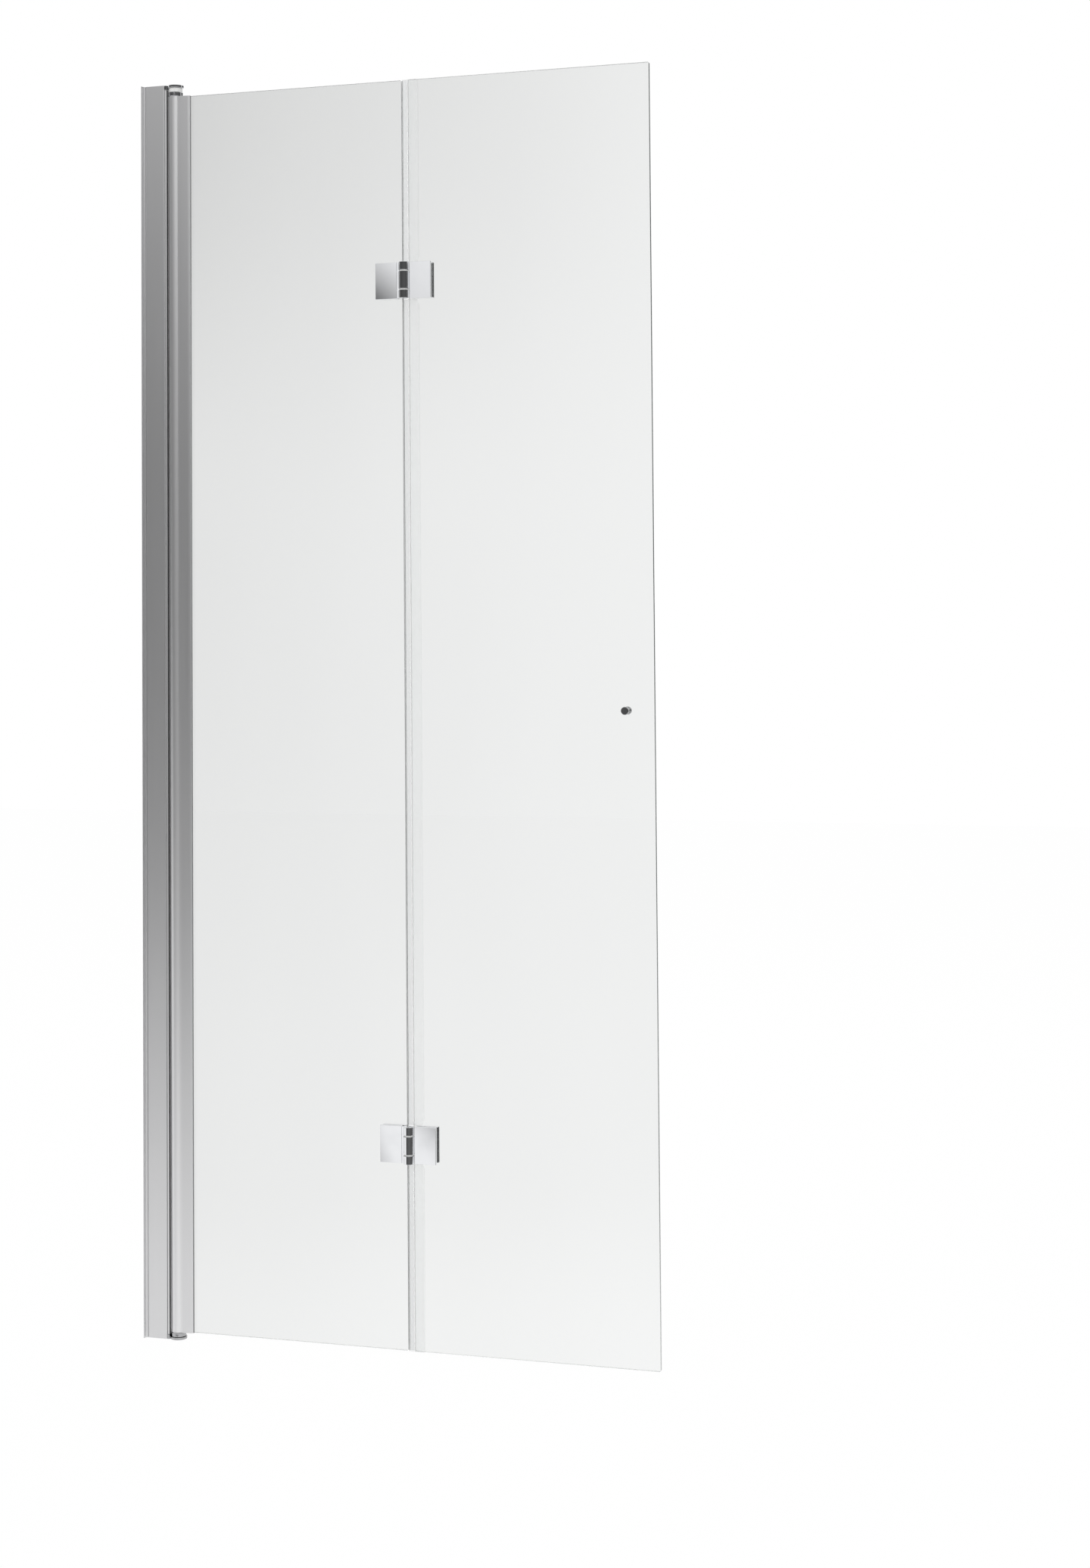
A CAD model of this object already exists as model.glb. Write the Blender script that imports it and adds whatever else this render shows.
# Folding shower screen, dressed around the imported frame: clear glass with polished edges, drawn aluminium
# profiles, chrome hinges and pivots, rubber and vinyl seals, screws and a chrome knob.
# Shapes are drawn in millimetres in the frame's own axes and brought to metres when they are placed.
import math

import bmesh
import bpy
from mathutils import Matrix, Vector


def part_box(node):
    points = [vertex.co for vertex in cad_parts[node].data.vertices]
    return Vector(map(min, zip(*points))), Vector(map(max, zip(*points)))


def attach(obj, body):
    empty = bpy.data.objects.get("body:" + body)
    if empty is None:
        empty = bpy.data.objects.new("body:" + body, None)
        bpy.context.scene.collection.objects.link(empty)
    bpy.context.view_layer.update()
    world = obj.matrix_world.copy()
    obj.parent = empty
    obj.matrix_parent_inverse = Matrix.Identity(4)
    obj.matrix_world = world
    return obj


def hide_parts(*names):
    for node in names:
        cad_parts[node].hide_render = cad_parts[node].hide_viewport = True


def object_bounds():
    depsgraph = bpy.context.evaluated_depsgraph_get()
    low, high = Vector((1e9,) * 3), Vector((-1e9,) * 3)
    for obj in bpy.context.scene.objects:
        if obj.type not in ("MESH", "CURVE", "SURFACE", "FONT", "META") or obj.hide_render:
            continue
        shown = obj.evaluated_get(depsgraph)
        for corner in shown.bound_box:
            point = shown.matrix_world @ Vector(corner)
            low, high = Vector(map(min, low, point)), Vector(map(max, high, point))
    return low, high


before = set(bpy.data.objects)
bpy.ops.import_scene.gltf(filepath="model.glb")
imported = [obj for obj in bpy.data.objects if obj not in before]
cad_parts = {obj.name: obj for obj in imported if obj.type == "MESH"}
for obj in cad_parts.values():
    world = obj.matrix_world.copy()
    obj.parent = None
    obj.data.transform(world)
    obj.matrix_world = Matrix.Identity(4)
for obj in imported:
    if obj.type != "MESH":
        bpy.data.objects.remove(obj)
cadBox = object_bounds()
print("frame loaded with", len(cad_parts), "nodes")

millimetre = 0.001
overrun = 3  # how far a cutting shape runs past the face it opens
clearance = 0.15  # the gap round a screw or beside a face
glassFace = 3.15  # from the middle of the glass to what lies on it
quarterTurn = math.pi / 2
white = (1, 1, 1, 1)


def span(node):
    low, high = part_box(node)
    return [(low[i] / millimetre, high[i] / millimetre) for i in range(3)]


def middle(pair):
    return (pair[0] + pair[1]) / 2


def halfWidth(pair):
    return (pair[1] - pair[0]) / 2


def linked(name, data):
    obj = bpy.data.objects.new(name, data)
    bpy.context.scene.collection.objects.link(obj)
    return obj


# Camera: the photograph's own place and angles, fitted to the edges of the glass and the wall profile
cameraSettings = {
    "place": (1.656, -3.375, 0.138), "turnLeft": 16.7, "tiltUp": 1.95, "lean": 0.45, "lens": 55.67,
    "sensor": 36.0, "shift": (-0.0025, -0.1618),
}


def addCamera():
    s = cameraSettings
    data = bpy.data.cameras.new("photoCamera")
    data.lens = s["lens"]
    data.sensor_width = s["sensor"]
    data.shift_x, data.shift_y = s["shift"]
    camera = linked("photoCamera", data)
    stand = Matrix.Translation(s["place"])
    for angle, axis in ((s["turnLeft"], "Z"), (s["tiltUp"], "X"), (s["lean"], "Y"), (90, "X")):
        stand = stand @ Matrix.Rotation(math.radians(angle), 4, axis)
    camera.matrix_world = stand
    bpy.context.scene.camera = camera


addCamera()
print("camera placed")


# Small tools for node trees
def addNode(tree, kind, inputs=None, out=0, **settings):
    # Makes a node, a shader's unless its kind says otherwise, and gives one of its outputs
    node = tree.nodes.new(kind if "Node" in kind else "ShaderNode" + kind)
    for key, value in settings.items():
        setattr(node, key, value)
    for key, value in (inputs or {}).items():
        if isinstance(value, bpy.types.NodeSocket):
            tree.links.new(value, node.inputs[key])
        else:
            node.inputs[key].default_value = value
    return node.outputs[out] if node.outputs else None


def clearTree(owner):
    owner.use_nodes = True
    owner.node_tree.nodes.clear()
    return owner.node_tree


def compute(operation, *values):
    tree = next(value.id_data for value in values if isinstance(value, bpy.types.NodeSocket))
    return addNode(tree, "Math", dict(enumerate(values)), operation=operation)


def product(value, *others):
    for other in others:
        value = compute("MULTIPLY", value, other)
    return value


def between(value, low, high, start=0.0, end=1.0, smooth=True):
    kind = "SMOOTHSTEP" if smooth else "LINEAR"
    inputs = {0: value, 1: low, 2: high, 3: start, 4: end}
    return addNode(value.id_data, "MapRange", inputs, interpolation_type=kind)


def axesOf(vector):
    return addNode(vector.id_data, "SeparateXYZ", {0: vector}).node.outputs


def objectAxes(tree):
    return axesOf(addNode(tree, "TexCoord", out="Object"))


def noise(tree, scale, stretch=(1, 1, 1), detail=3.0):
    place = addNode(tree, "TexCoord", out="Object")
    mapped = addNode(tree, "Mapping", {"Vector": place, "Scale": stretch})
    return addNode(tree, "TexNoise", {"Vector": mapped, "Scale": scale, "Detail": detail})


def blendColours(factor, first, second):
    inputs = {"Factor": factor, 6: first, 7: second}
    return addNode(factor.id_data, "Mix", inputs, out=2, data_type="RGBA")


def mixShaders(share, first, second):
    return addNode(share.id_data, "MixShader", {0: share, 1: first, 2: second})


def rayKinds(tree):
    # Which rays look straight or through glass at the background, and which see it in a gloss
    path = addNode(tree, "LightPath").node.outputs
    straight = compute("MAXIMUM", path["Is Camera Ray"], path["Is Transmission Ray"])
    mirrored = compute("SUBTRACT", path["Is Glossy Ray"], path["Is Transmission Ray"])
    return straight, compute("MAXIMUM", mirrored, 0.0)


# Studio: white all round, with soft dark screens that only metal and glass see in their gloss.
# Angles are in degrees: bearings from the front towards the free side, heights from the horizon.
studio = {
    "ambient": 0.72, "darkest": 0.07, "leftEdge": (-10.0, -2.0, -40.0, -85.0), "rightEdge": 112.0,
    "edgeSoftness": 5.0, "topFade": (9.0, 50.0), "bottomFade": (-17.0, -12.8),
    "backScreen": (112.0, 128.0, 168.0, 177.0), "streakPlace": 29.0, "streakHalf": 70.0,
    "streakFoot": (-16.0, -13.0, 1.0, 0.0), "streakMiddle": (-12.6, 9.0, 0.05, 0.02),
    "streakTop": (16.0, 24.0, 0.0, 1.0),
}


def addStudio():
    s = studio
    world = bpy.data.worlds.new("studio")
    bpy.context.scene.world = world
    tree = clearTree(world)
    x, y, z = axesOf(addNode(tree, "TexCoord", out="Generated"))
    bearing = compute("DEGREES", compute("ARCTAN2", x, product(y, -1.0)))
    height = compute("DEGREES", compute("ARCSINE", z))
    soft = s["edgeSoftness"]
    leftEdge = between(height, *s["leftEdge"], smooth=False)
    left = between(compute("SUBTRACT", bearing, leftEdge), -soft, soft)
    right = between(bearing, s["rightEdge"] - 2 * soft, s["rightEdge"] + 2 * soft, 1.0, 0.0)
    top = between(height, *s["topFade"], 1.0, 0.0)
    bottom = between(height, *s["bottomFade"])
    near, full, less, far = s["backScreen"]
    start, end = between(bearing, near, full), between(bearing, less, far, 1.0, 0.0)
    back = product(start, end, top, bottom)
    mask = compute("MAXIMUM", product(left, right, top, bottom), back)
    # A bright streak crosses the screens
    fromStreak = compute("ABSOLUTE", compute("SUBTRACT", bearing, s["streakPlace"]))
    streak = between(fromStreak, 0.0, s["streakHalf"], 1.0, 0.0)
    strength = 0.0
    for level in ("streakFoot", "streakMiddle", "streakTop"):
        strength = compute("MAXIMUM", strength, between(height, *s[level], smooth=False))
    mask = product(mask, compute("SUBTRACT", 1.0, product(streak, strength)))
    gloss = compute("SUBTRACT", 1.0, product(mask, 1.0 - s["darkest"]))
    straight, inGloss = rayKinds(tree)
    plain = between(straight, 0.0, 1.0, s["ambient"], 1.0, smooth=False)
    lights = []
    for level in (plain, gloss):
        lights.append(addNode(tree, "Background", {"Color": white, "Strength": level}))
    addNode(tree, "OutputWorld", {"Surface": mixShaders(inGloss, *lights)})


# Floor: pale, level with the foot of the wall profile, white to the camera apart from a soft shadow
floorSettings = {
    "half": 9.0, "light": (0.93, 0.93, 0.93, 1), "dark": (0.91, 0.91, 0.91, 1), "clouds": 3.0,
    "whiteShare": 0.98,
}


def addFloor():
    s = floorSettings
    mesh = bpy.data.meshes.new("floor")
    corners = [(-1, -1), (1, -1), (1, 1), (-1, 1)]
    mesh.from_pydata([(x * s["half"], y * s["half"], cadBox[0][2]) for x, y in corners], [], [(0, 1, 2, 3)])
    floor = linked("floor", mesh)
    material = bpy.data.materials.new("paleFloor")
    tree = clearTree(material)
    tone = blendColours(noise(tree, s["clouds"], detail=2.0), s["light"], s["dark"])
    paint = addNode(tree, "BsdfDiffuse", {"Color": tone})
    glow = addNode(tree, "Emission", {"Strength": 1.0})
    straight, inGloss = rayKinds(tree)
    seen = mixShaders(product(straight, s["whiteShare"]), paint, glow)
    shown = mixShaders(inGloss, seen, addNode(tree, "BsdfTransparent"))
    addNode(tree, "OutputMaterial", {"Surface": shown})
    mesh.materials.append(material)


# Lamps: wide soft ones above, in front and behind, which the mirror-like metal doesn't show
lamps = {
    "overhead": {"place": (0.2, -1.2, 3.4), "towards": (0.4, 0, 0), "size": 2.6, "power": 42},
    "front": {"place": (2.4, -3.6, 1.6), "towards": (0.2, 0, 0), "size": 1.2, "power": 26},
    "rear": {"place": (-0.4, 3.2, 2.2), "towards": (0.4, 0, 0), "size": 2.2, "power": 34},
}


def addLamps():
    for name, s in lamps.items():
        data = bpy.data.lights.new(name, "AREA")
        data.size = s["size"]
        data.energy = s["power"]
        lamp = linked(name, data)
        aim = Vector(s["towards"]) - Vector(s["place"])
        lamp.rotation_euler = aim.to_track_quat("-Z", "Y").to_euler()
        lamp.location = s["place"]
        lamp.visible_camera = lamp.visible_transmission = lamp.visible_glossy = False


addStudio()
addFloor()
addLamps()
bpy.context.scene.view_settings.view_transform = "Standard"
print("studio, floor and lamps ready")


# Finishes
def newFinish(name, **constants):
    material = bpy.data.materials.new(name)
    material.use_nodes = True
    shader = material.node_tree.nodes["Principled BSDF"]
    for key, value in constants.items():
        shader.inputs[key.replace("_", " ")].default_value = value
    return material, material.node_tree, shader


def coat(shader, colour, pattern, roughness, spread=(0.3, 0.7)):
    links = shader.id_data.links
    links.new(colour, shader.inputs["Base Color"])
    links.new(between(pattern, *spread, *roughness), shader.inputs["Roughness"])


def addBump(shader, height, strength, distance):
    inputs = {"Height": height, "Strength": strength, "Distance": distance}
    tree = shader.id_data
    tree.links.new(addNode(tree, "Bump", inputs), shader.inputs["Normal"])


aluminium = {
    "light": (0.80, 0.80, 0.808, 1), "dark": (0.76, 0.76, 0.768, 1), "clouds": 4.0,
    "roughness": (0.335, 0.355), "lines": 260.0, "alongLines": 0.012, "lineDepth": 0.0000012, "bow": 0.1,
    "lean": 0.007, "metal": 0.89, "burnished": (0.9, 0.9, 0.905, 1), "burnishTurn": 24.0,
    "burnishHalf": 34.0, "noseCentre": 0.0515, "noseEnd": 0.062,
}


def drawnAluminium(name, burnished=False):
    s = aluminium
    material, tree, shader = newFinish(name, Metallic=s["metal"])
    lines = noise(tree, s["lines"], (1, 1, s["alongLines"]), 4.0)
    colour = blendColours(noise(tree, s["clouds"]), s["dark"], s["light"])
    x, y, z = objectAxes(tree)
    if burnished:
        # The round nose is burnished along the band that faces out of the doorway
        fromCentre = compute("SUBTRACT", x, s["noseCentre"])
        turn = compute("DEGREES", compute("ARCTAN2", fromCentre, product(y, -1.0)))
        fromBand = compute("ABSOLUTE", compute("SUBTRACT", turn, s["burnishTurn"]))
        band = between(fromBand, 0.0, s["burnishHalf"], 1.0, 0.0)
        band = product(band, compute("LESS_THAN", x, s["noseEnd"]))
        colour = blendColours(band, colour, s["burnished"])
    coat(shader, colour, lines, s["roughness"])
    # Over its length the bar is a little bowed, which stretches what it mirrors
    bow = compute("SUBTRACT", product(z, z, -s["bow"] / 2), product(z, s["lean"]))
    addBump(shader, compute("ADD", bow, product(lines, s["lineDepth"])), 1.0, 1.0)
    return material


moulded = (0.15, 0.0002)  # strength and depth of a moulded surface's bump


def grained(name, dark, light, roughness, grain, relief=moulded, stretch=(1, 1, 1), detail=4.0, **constants):
    # One fine pattern varies the colour, the roughness and the height
    material, tree, shader = newFinish(name, **constants)
    pattern = noise(tree, grain, stretch, detail)
    coat(shader, blendColours(pattern, dark, light), pattern, roughness)
    addBump(shader, pattern, *relief)
    return material


chromeSettings = {
    "polished": ((0.86, 0.865, 0.88, 1), (0.80, 0.81, 0.83, 1)),
    "dull": ((0.36, 0.362, 0.37, 1), (0.5, 0.503, 0.51, 1)),
    "shaded": ((0.3, 0.302, 0.31, 1), (0.36, 0.362, 0.37, 1)), "smudges": 38.0,
    "smudgeSpread": (0.35, 0.75), "roughness": (0.035, 0.075), "ripples": 90.0,
}


def chromeBase(name, tone):
    s = chromeSettings
    material, tree, shader = newFinish(name, Metallic=1.0)
    smudges = noise(tree, s["smudges"], detail=5.0)
    coat(shader, blendColours(smudges, *s[tone]), smudges, s["roughness"], s["smudgeSpread"])
    return material, tree, shader


def rippledChrome(name, tone):
    material, tree, shader = chromeBase(name, tone)
    addBump(shader, noise(tree, chromeSettings["ripples"]), 0.04, 0.0002)
    return material


def plateChrome(name, centre, size, lean, twist):
    # A plate's polished face isn't quite flat: it leans up or down, more so towards two of its corners
    material, tree, shader = chromeBase(name, "polished")
    x, _, z = objectAxes(tree)
    x, z = (compute("SUBTRACT", axis, place) for axis, place in zip((x, z), centre))
    leanSlope, twistSlope = math.radians(lean), math.radians(twist)
    slope = compute("ADD", product(x, twistSlope / size[0]), leanSlope)
    slope = compute("ADD", slope, product(z, twistSlope / size[1] / 2))
    addBump(shader, product(slope, z, -1.0), 1.0, 1.0)
    return material


# Glass: its tones run from the wall to the free side, each at the top, at the break and at the foot
glassSettings = {
    "wallSide": (0.665, 0.80, 0.85), "freeSide": (0.865, 0.895, 0.905), "toneBreak": 0.36,
    "toneCurve": 0.78, "sides": (0.07, 0.8), "ends": (0.94, -0.94), "tint": (0.996, 1.004, 1.0),
    "roughness": (0.0, 0.012), "shadow": (0.93, 0.94, 0.935, 1), "edgeTop": (0.30, 0.32, 0.315, 1),
    "edgeFoot": (0.66, 0.68, 0.67, 1), "edgeFold": (0.9, 0.91, 0.905, 1), "edgeFade": (0.5, -0.9),
    "foldFade": (0.45, 0.79), "edgeRoughness": (0.1, 0.22), "edgeShadow": (0.8, 0.82, 0.81, 1),
}


def shadeThrough(shader, tint):
    # Lamps shine through the glass, so it throws only a faint shadow
    tree = shader.id_data
    clear = addNode(tree, "BsdfTransparent", {"Color": tint})
    shadow = addNode(tree, "LightPath", out="Is Shadow Ray")
    mixed = mixShaders(shadow, shader.outputs[0], clear)
    tree.links.new(mixed, tree.nodes["Material Output"].inputs["Surface"])


def clearGlass():
    s = glassSettings
    material, tree, shader = newFinish("clearGlass", IOR=1.5, Transmission_Weight=1.0)
    x, _, z = objectAxes(tree)
    across = compute("POWER", between(x, *s["sides"], smooth=False), s["toneCurve"])
    down = between(z, *s["ends"], smooth=False)
    tones = []
    for top, middleTone, foot in (s["wallSide"], s["freeSide"]):
        upper = between(down, 0.0, s["toneBreak"], top, middleTone)
        lower = between(down, s["toneBreak"], 1.0, 0.0, foot - middleTone)
        tones.append(compute("ADD", upper, lower))
    tone = between(across, 0.0, 1.0, *tones, smooth=False)
    clouds = between(noise(tree, 1.6, (1.4, 1, 0.5)), 0.3, 0.7, 0.99, 1.01)
    inputs = {0: s["tint"], "Scale": product(tone, clouds)}
    tint = addNode(tree, "VectorMath", inputs, operation="SCALE")
    coat(shader, tint, noise(tree, 25.0), s["roughness"], (0.4, 0.8))
    shadeThrough(shader, s["shadow"])
    return material


def polishedEdge():
    s = glassSettings
    material, tree, shader = newFinish("polishedGlassEdge", IOR=1.5, Transmission_Weight=0.35)
    x, _, z = objectAxes(tree)
    colour = blendColours(between(z, *s["edgeFade"]), s["edgeTop"], s["edgeFoot"])
    colour = blendColours(between(x, *s["foldFade"]), s["edgeFold"], colour)
    coat(shader, colour, noise(tree, 60.0), s["edgeRoughness"])
    shadeThrough(shader, s["edgeShadow"])
    return material


vinyl = {"roughness": (0.03, 0.09), "footFade": (0.3, -0.3), "shadow": (0.9, 0.91, 0.91, 1)}


def softVinyl(name, dark, light, foot=None):
    material, tree, shader = newFinish(name, IOR=1.3, Transmission_Weight=0.96)
    clouds = noise(tree, 14.0, (1, 1, 0.1))
    colour = blendColours(clouds, dark, light)
    if foot:
        # The lower pieces have gone dark, as they stay wet for longer
        colour = blendColours(between(objectAxes(tree)[2], *vinyl["footFade"]), colour, foot)
    coat(shader, colour, clouds, vinyl["roughness"])
    shadeThrough(shader, vinyl["shadow"])
    return material


cutMarks = {"grain": 900.0, "relief": (0.2, 0.0002), "stretch": (1, 0.08, 1), "detail": 3.0, "Metallic": 1.0}
turnedRings = {"grain": 700.0, "relief": (0.1, 0.0001), "detail": 2.0, "Metallic": 1.0}
finishes = {
    "aluminium": drawnAluminium("drawnAluminium"),
    "noseAluminium": drawnAluminium("burnishedAluminium", burnished=True),
    "cutEnd": grained("cutAluminium", (0.66, 0.66, 0.67, 1), (0.78, 0.78, 0.79, 1), (0.34, 0.48), **cutMarks),
    "steel": grained("turnedSteel", (0.58, 0.58, 0.60, 1), (0.70, 0.70, 0.71, 1), (0.22, 0.34), **turnedRings),
    "chrome": rippledChrome("polishedChrome", "polished"),
    "dullChrome": rippledChrome("dullChrome", "dull"),
    "shadedChrome": rippledChrome("shadedChrome", "shaded"),
    "glass": clearGlass(),
    "glassEdge": polishedEdge(),
    "vinyl": softVinyl("clearVinyl", (0.95, 0.955, 0.955, 1), (0.98, 0.98, 0.98, 1)),
    "bulbVinyl": softVinyl("bulbVinyl", (0.85, 0.86, 0.86, 1), (0.89, 0.89, 0.89, 1)),
    "padVinyl": softVinyl("padVinyl", (0.9, 0.91, 0.91, 1), (0.94, 0.94, 0.94, 1), (0.05, 0.05, 0.052, 1)),
    "blackRubber": grained("blackRubber", (0.012, 0.012, 0.013, 1), (0.028, 0.028, 0.03, 1), (0.5, 0.7), 420.0),
    "greyRubber": grained("greyRubber", (0.25, 0.252, 0.255, 1), (0.3, 0.302, 0.306, 1), (0.45, 0.65), 420.0),
    "nylon": grained("whiteNylon", (0.74, 0.74, 0.73, 1), (0.82, 0.82, 0.81, 1), (0.32, 0.46), 260.0),
}
print("finishes made:", len(finishes))


# Geometry Nodes trees
def newTree(name, inputs):
    tree = bpy.data.node_groups.new(name, "GeometryNodeTree")
    for label, kind in {"Geometry": "Geometry", **inputs}.items():
        tree.interface.new_socket(label, in_out="INPUT", socket_type="NodeSocket" + kind)
    tree.interface.new_socket("Geometry", in_out="OUTPUT", socket_type="NodeSocketGeometry")
    return tree, addNode(tree, "NodeGroupInput").node.outputs


def endTree(tree, geometry, finish):
    real = addNode(tree, "GeometryNodeRealizeInstances", {0: geometry})
    painted = addNode(tree, "GeometryNodeSetMaterial", {"Geometry": real, "Material": finish})
    addNode(tree, "NodeGroupOutput", {0: painted})
    return tree


def sectionTree():
    # Draws a closed section, with its hollows, into a solid bar between two heights and then turns it
    sizes = {"Start": "Float", "Length": "Float", "Turn": "Vector", "Finish": "Material"}
    tree, given = newTree("drawnSection", sizes)
    filled = addNode(tree, "GeometryNodeFillCurve", {0: given["Geometry"]}, mode="NGONS")
    rise = addNode(tree, "CombineXYZ", {"Z": given["Length"]})
    inputs = {"Mesh": filled, "Offset": rise, "Offset Scale": 1.0, "Individual": False}
    grown = addNode(tree, "GeometryNodeExtrudeMesh", inputs)
    base = addNode(tree, "GeometryNodeFlipFaces", {0: filled})
    both = tree.nodes.new("GeometryNodeJoinGeometry")
    for part in (grown, base):
        tree.links.new(part, both.inputs[0])
    inputs = {"Geometry": both.outputs[0], "Distance": 0.0005}
    closed = addNode(tree, "GeometryNodeMergeByDistance", inputs)
    start = addNode(tree, "CombineXYZ", {"Z": given["Start"]})
    lifted = addNode(tree, "GeometryNodeTransform", {"Geometry": closed, "Translation": start})
    bar = addNode(tree, "GeometryNodeTransform", {"Geometry": lifted, "Rotation": given["Turn"]})
    return endTree(tree, bar, given["Finish"])


def screwTree():
    # Repeats one screw along a straight row; each one stops at its own angle about its own axis
    sizes = {"Screw": "Object", "Count": "Int", "First": "Vector", "Step": "Vector", "Seed": "Int"}
    tree, given = newTree("screwRow", {**sizes, "Finish": "Material"})
    inputs = {"Count": given["Count"], "Start Location": given["First"], "Offset": given["Step"]}
    row = addNode(tree, "GeometryNodeMeshLine", inputs)
    screw = addNode(tree, "GeometryNodeObjectInfo", {"Object": given["Screw"]}, out="Geometry")
    inputs = {"Seed": given["Seed"], 3: math.pi}
    angle = addNode(tree, "FunctionNodeRandomValue", inputs, out=1, data_type="FLOAT")
    twist = addNode(tree, "CombineXYZ", {"Y": angle})
    inputs = {"Points": row, "Instance": screw, "Rotation": twist}
    screws = addNode(tree, "GeometryNodeInstanceOnPoints", inputs)
    return endTree(tree, screws, given["Finish"])


trees = {"section": sectionTree(), "screws": screwTree()}


def finalMesh(obj):
    # Makes the modifiers part of the mesh
    graph = bpy.context.evaluated_depsgraph_get()
    shown = obj.evaluated_get(graph)
    mesh = bpy.data.meshes.new_from_object(shown, preserve_all_data_layers=True, depsgraph=graph)
    obj.modifiers.clear()
    return mesh


def settled(obj):
    obj.data = finalMesh(obj)
    return obj


def grow(carrier, tree, inputs):
    # Runs a tree on its carrier object and keeps the result as a plain mesh
    modifier = carrier.modifiers.new(tree.name, "NODES")
    modifier.node_group = tree
    for item in tree.interface.items_tree:
        if item.in_out == "INPUT" and item.name in inputs:
            modifier[item.identifier] = inputs[item.name]
    mesh = finalMesh(carrier)
    if not mesh.materials[0]:
        mesh.materials.pop(index=0)  # the tree can leave an empty slot in front
    bpy.data.objects.remove(carrier)
    return linked("shape", mesh)


# Shapes in millimetres
def section(loops, low, high, finish="steel", turn=(0.0, 0.0, 0.0)):
    curve = bpy.data.curves.new("outline", "CURVE")
    curve.dimensions = "3D"
    for loop in loops:
        spline = curve.splines.new("POLY")
        spline.points.add(len(loop) - 1)
        for point, (x, y) in zip(spline.points, loop):
            point.co = (x, y, 0, 1)
        spline.use_cyclic_u = True
    inputs = {"Start": float(low), "Length": float(high - low), "Turn": turn, "Finish": finishes[finish]}
    return grow(linked("outline", curve), trees["section"], inputs)


def arc(x, y, radius, start, end, steps):
    angles = [math.radians(start + (end - start) * i / steps) for i in range(steps + 1)]
    return [(x + radius * math.cos(a), y + radius * math.sin(a)) for a in angles]


def circle(x, y, radius, sides=64):
    return arc(x, y, radius, 0, 360, sides)[:-1]


def bend(start, pull, end, steps=10):
    points = []
    for i in range(steps + 1):
        t = i / steps
        a, b, c = (1 - t) ** 2, 2 * t * (1 - t), t * t
        points.append((a * start[0] + b * pull[0] + c * end[0], a * start[1] + b * pull[1] + c * end[1]))
    return points


def otherSide(points):
    # The same outline beyond the middle plane, drawn back to its start
    return [(x, -y) for x, y in reversed(points)]


def rectangle(x0, x1, y0, y1):
    return [(x0, y0), (x1, y0), (x1, y1), (x0, y1)]


def slab(x, y, z, finish="steel"):
    return section([rectangle(*x, *y)], *z, finish)


def turned(profile, finish, place=(0, 0, 0), axis="Z", sides=64, closed=False):
    # Spins a profile of (radius, height) pairs about an upright or a front-to-back axis
    shape = bmesh.new()
    verts = [shape.verts.new((radius, 0, height)) for radius, height in profile]
    edges = [shape.edges.new(pair) for pair in zip(verts, verts[1:] + verts[: int(closed)])]
    whole = {"axis": (0, 0, 1), "cent": (0, 0, 0), "angle": 2 * math.pi}
    bmesh.ops.spin(shape, geom=verts + edges, steps=sides, **whole)
    bmesh.ops.remove_doubles(shape, verts=shape.verts, dist=0.0005)
    bmesh.ops.recalc_face_normals(shape, faces=shape.faces)
    mesh = bpy.data.meshes.new("shape")
    shape.to_mesh(mesh)
    shape.free()
    if axis == "Y":
        mesh.transform(Matrix.Rotation(-quarterTurn, 4, "X"))
    mesh.transform(Matrix.Translation(place))
    mesh.materials.append(finishes[finish])
    return linked("shape", mesh)


def chamfered(inner, outer, z, chamfer):
    # The profile of a pin or washer whose outer edges are broken
    (low, high), edge = z, outer - chamfer
    side = [(edge, low), (outer, low + chamfer), (outer, high - chamfer), (edge, high)]
    return [(inner, low), *side, (inner, high)]


def ring(x, y, z, outer, inner, chamfer, finish):
    profile = chamfered(inner + chamfer, outer, z, chamfer)
    profile = [(inner, z[0] + chamfer), *profile, (inner, z[1] - chamfer)]
    return turned(profile, finish, (x, y, 0), closed=True)


def moved(obj, x, y, z):
    obj.data.transform(Matrix.Translation((x, y, z)))
    return obj


def crossBar(x, z, y0, y1, radius, sides=48):
    # A cutting bar along Y, round or with six sides
    return moved(section([circle(0, 0, radius, sides)], y0, y1, turn=(-quarterTurn, 0.0, 0.0)), x, 0, z)


def combine(obj, others, operation):
    for other in others:
        modifier = obj.modifiers.new(operation.lower(), "BOOLEAN")
        modifier.operation = operation
        modifier.solver = "EXACT"
        modifier.object = other
        settled(obj)
        bpy.data.objects.remove(other)
    return obj


def joined(obj, *others):
    return combine(obj, others, "UNION")


def cut(obj, *tools):
    return combine(obj, tools, "DIFFERENCE")


def softened(obj, width, segments=2, angle=40):
    # Breaks the sharp edges
    shape = bmesh.new()
    shape.from_mesh(obj.data)
    bmesh.ops.remove_doubles(shape, verts=shape.verts, dist=0.001)
    bmesh.ops.dissolve_limit(shape, angle_limit=0.002, verts=shape.verts, edges=shape.edges)
    shape.to_mesh(obj.data)
    shape.free()
    bevel = obj.modifiers.new("edges", "BEVEL")
    bevel.width = width
    bevel.segments = segments
    bevel.limit_method = "ANGLE"
    bevel.angle_limit = math.radians(angle)
    return evenShading(settled(obj))


def evenShading(obj, *shells):
    # Takes in other closed shells that overlap with it, and keeps flat faces flat in the shading
    shape = bmesh.new()
    for part in (obj, *shells):
        shape.from_mesh(part.data)
    bmesh.ops.dissolve_degenerate(shape, dist=0.002, edges=shape.edges)
    shape.to_mesh(obj.data)
    shape.free()
    for part in shells:
        bpy.data.objects.remove(part)
    obj.data.shade_smooth()
    weighted = obj.modifiers.new("shading", "WEIGHTED_NORMAL")
    weighted.weight = 60
    return settled(obj)


def facesFinish(obj, finish, test):
    # Gives the faces that pass a test another finish
    obj.data.materials.append(finish)
    index = len(obj.data.materials) - 1
    for face in obj.data.polygons:
        if test(face):
            face.material_index = index


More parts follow.
